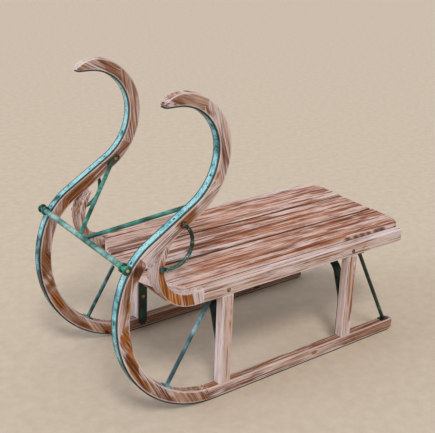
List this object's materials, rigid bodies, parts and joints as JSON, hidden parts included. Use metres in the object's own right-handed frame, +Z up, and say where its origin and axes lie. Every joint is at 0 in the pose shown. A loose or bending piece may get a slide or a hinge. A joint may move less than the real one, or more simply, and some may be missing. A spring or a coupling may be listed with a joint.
{
  "type": "sleigh",
  "caption": "Wooden sleigh with a plank seat, bowed runners rising into swan-neck hooks, iron straps, stays and cross irons.",
  "frame": {"origin": "centre of the bounding box's bottom, on the floor under the runners", "axes": "+X towards the front of the sleigh (the bows and hooks), +Y to the sleigh's left, +Z up"},
  "size_m": [0.828, 0.387, 0.6942],
  "materials": {
    "runner_wood": "wire-brushed softwood with a worn white wash, brown and orange patches",
    "rail_wood": "wire-brushed softwood with a worn white wash, orange-brown at the curl",
    "post_wood": "wire-brushed softwood with a worn white wash",
    "batten_wood": "brown-stained softwood, unwashed",
    "seat_wood": "deeply wire-brushed softwood with a worn white wash",
    "strap_iron": "worn turquoise paint with a dark rubbed edge",
    "cross_iron": "very dark green paint",
    "rod_iron": "worn teal-green paint",
    "bolt_brass": "dull brass",
    "bolt_iron": "blackened iron with a rubbed edge"
  },
  "bodies": {
    "root": {"batten_front": "batten_wood", "batten_middle": "batten_wood", "batten_rear": "batten_wood", "brace_bolt_left": "bolt_brass", "brace_bolt_right": "bolt_brass", "cross_iron_front": "cross_iron", "cross_iron_rear": "cross_iron", "crossbar": "strap_iron", "leg_bolt_front_left": "bolt_brass", "leg_bolt_front_right": "bolt_brass", "leg_bolt_rear_left": "bolt_brass", "leg_bolt_rear_right": "bolt_brass", "neck_brace_left": "rod_iron", "neck_brace_right": "rod_iron", "post_front_left": "post_wood", "post_front_right": "post_wood", "post_rear_left": "post_wood", "post_rear_right": "post_wood", "rail_bolt_front_left": "bolt_iron", "rail_bolt_front_right": "bolt_iron", "rail_bolt_rear_left": "bolt_iron", "rail_bolt_rear_right": "bolt_iron", "rail_left": "rail_wood", "rail_right": "rail_wood", "ring_bolt_low_left": "bolt_iron", "ring_bolt_low_right": "bolt_iron", "ring_bolt_top_left": "bolt_iron", "ring_bolt_top_right": "bolt_iron", "ring_left": "rod_iron", "ring_right": "rod_iron", "runner_left": "runner_wood", "runner_right": "runner_wood", "runner_strap_left": "strap_iron", "runner_strap_right": "strap_iron", "seat_board_left": "seat_wood", "seat_board_middle": "seat_wood", "seat_board_right": "seat_wood", "stay_front_left": "rod_iron", "stay_front_right": "rod_iron", "stay_rear_left": "rod_iron", "stay_rear_right": "rod_iron"}
  },
  "joints": []
}
